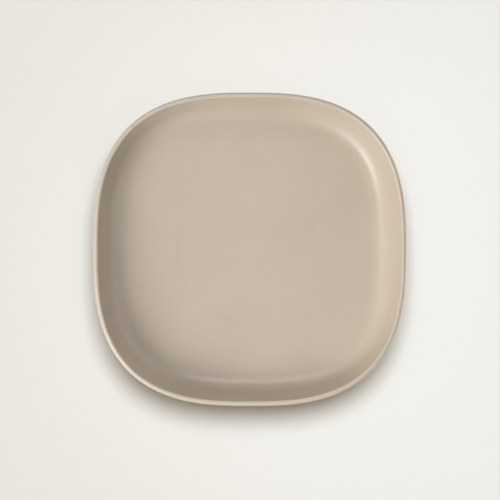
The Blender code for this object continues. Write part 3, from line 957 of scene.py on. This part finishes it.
# each lamp: light it gives, direction it comes from, height and spread, angles in degrees
pieceLamps = {
    "keyLight": (2.93, 217, 37.5, 35),
    "keySheen": (1.9, 217, 37.5, 35),  # the key as it is mirrored, weaker, so that the dish stays matt
    "backLight": (0.5, 96, 44, 25),
    "lineLight": (0.28, 94, 49, 4),  # a thin glint along the near fillet
    "edgeLight": (0.85, 206, 48, 10),  # and along the right one
    "sideLight": (0.18, 350, 18, 20),
    "cornerLight": (0.2, 30, 25, 20),
    "overheadLight": (0.56, 0, 90, 150),
}
unmirrored = ("keyLight",)  # seen in no reflection
mirroredOnly = ("keySheen", "lineLight", "edgeLight")  # seen in reflections alone
underLamps = {
    "underLight": (1.4, 5, -40, 50),
    "underFill": (0.6, 0, -90, 150),
}
floorLamps = {
    "tableLight": (3.57, 85, 74, 30),
    "tableSky": (1.08, 0, 90, 100),
}
lampColours = {  # together they leave the shade on the floor warm
    "tableLight": (0.863, 0.921, 1.0),
    "tableSky": (1.0, 0.851, 0.641),
}
panelDistances = {"keyLight": 2.6, "keySheen": 2.6}  # these stand near as round panels


def seenPlainly(tree):
    # 1 for what the camera sees itself, in a mirror or through something clear
    seen = tree.nodes.new("ShaderNodeLightPath").outputs
    indirect = addMath(tree, "MAXIMUM", seen["Is Glossy Ray"], seen["Is Transmission Ray"])
    return addMath(tree, "MAXIMUM", seen["Is Camera Ray"], indirect)


def mixShaders(tree, share, first, second):
    node = addNode(tree, "ShaderNodeMixShader", Fac=share)
    tree.links.new(first.outputs[0], node.inputs[1])
    tree.links.new(second.outputs[0], node.inputs[2])
    return node


def makeFloor():
    bm = bmesh.new()
    bmesh.ops.create_grid(bm, x_segments=1, y_segments=1, size=studio["floorHalf"])
    bmesh.ops.translate(bm, verts=bm.verts, vec=(0, 0, -studio["floorDrop"]))
    mesh = bpy.data.meshes.new("floor")
    bm.to_mesh(mesh)
    bm.free()
    floor = bpy.data.objects.new("floor", mesh)
    scene.collection.objects.link(floor)
    material = bpy.data.materials.new("paleFloor")
    material.use_nodes = True
    tree = material.node_tree
    matte = tree.nodes["Principled BSDF"]
    place = addNode(tree, "ShaderNodeTexCoord").outputs["Object"]
    away = addNode(tree, "ShaderNodeVectorMath", {"operation": "DISTANCE"})
    tree.links.new(place, away.inputs[0])
    away.inputs[1].default_value = studio["floorLightPool"]
    # painted pool of light round the pale spot on the floor
    fade = ramp(tree, away.outputs["Value"], *studio["floorLightPoolReach"])
    tone = tinted(tree, studio["floorPale"], fade, studio["floorDeep"])
    tree.links.new(tone, matte.inputs["Base Color"])
    matte.inputs["Roughness"].default_value = studio["floorRough"]
    matte.inputs["Specular IOR Level"].default_value = 0
    glow = addNode(tree, "ShaderNodeEmission", Color=(*studio["ownColour"], 1), Strength=1.0)
    ownShare = addMath(tree, "MULTIPLY", seenPlainly(tree), studio["floorOwnLight"])
    lit = mixShaders(tree, ownShare, matte, glow)
    clear = tree.nodes.new("ShaderNodeBsdfTransparent")  # from below the floor is clear
    below = tree.nodes.new("ShaderNodeNewGeometry").outputs["Backfacing"]
    sided = mixShaders(tree, below, lit, clear)
    tree.links.new(sided.outputs[0], tree.nodes["Material Output"].inputs["Surface"])
    floor.data.materials.append(material)
    return floor


def makeLamp(name, light, fromAngle, height, spread, receivers, distance=0):
    # a far lamp, or a round panel where a distance is given
    lamp = bpy.data.lights.new(name, "AREA" if distance else "SUN")
    around, up = math.radians(fromAngle), math.radians(height)
    towards = Vector((math.cos(around) * math.cos(up), math.sin(around) * math.cos(up), math.sin(up)))
    if distance:
        lamp.shape = "DISK"
        lamp.size = 2 * distance * math.tan(math.radians(spread / 2))
        lamp.energy = light * math.pi * distance ** 2
    else:
        lamp.angle = math.radians(spread)
        lamp.energy = light
    lamp.color = lampColours.get(name, (1, 1, 1))
    holder = bpy.data.objects.new(name, lamp)
    scene.collection.objects.link(holder)
    holder.location = towards * distance
    holder.rotation_euler = towards.to_track_quat("Z", "Y").to_euler()
    holder.visible_camera = False
    holder.visible_diffuse = name not in mirroredOnly
    holder.visible_glossy = name not in unmirrored
    holder.light_linking.receiver_collection = receivers
    if height < 0:
        holder.light_linking.blocker_collection = receivers  # from below only the pieces cast shade
        lamp.cycles.max_bounces = 0  # and none of it reaches the floor


def makeSky():
    world = bpy.data.worlds.new("softSky")
    world.use_nodes = True
    tree = world.node_tree
    tree.nodes.clear()
    lit = addNode(
        tree, "ShaderNodeBackground", Color=(*studio["skyLightColour"], 1), Strength=studio["skyLight"]
    )
    shown = addNode(tree, "ShaderNodeBackground", Color=(*studio["skyColour"], 1), Strength=1.0)
    mixed = mixShaders(tree, seenPlainly(tree), lit, shown)
    out = tree.nodes.new("ShaderNodeOutputWorld")
    tree.links.new(mixed.outputs[0], out.inputs["Surface"])
    scene.world = world


floor = makeFloor()
floorOnly = bpy.data.collections.new("floorOnly")
floorOnly.objects.link(floor)
for name, lamp in pieceLamps.items():
    makeLamp(name, *lamp, pieceCollection, panelDistances.get(name, 0))
for name, lamp in underLamps.items():
    makeLamp(name, *lamp, pieceCollection)
for name, lamp in floorLamps.items():
    makeLamp(name, *lamp, floorOnly)
makeSky()
print("studio made")

viewpoint = {
    "frameWidth": 0.3192,  # metres across the picture at the rim's height
    "distance": 4.0, "rimHeight": 0.0354, "aimX": 0.0001, "aimY": -0.0005, "sensor": 36,
}


def makeCamera():
    data = bpy.data.cameras.new("camera")
    data.sensor_width = viewpoint["sensor"]
    data.lens = viewpoint["sensor"] * viewpoint["distance"] / viewpoint["frameWidth"]
    camera = bpy.data.objects.new("camera", data)
    scene.collection.objects.link(camera)
    height = viewpoint["rimHeight"] + viewpoint["distance"]
    camera.location = (viewpoint["aimX"], viewpoint["aimY"], height)
    scene.camera = camera


makeCamera()
print("camera set, straight down")
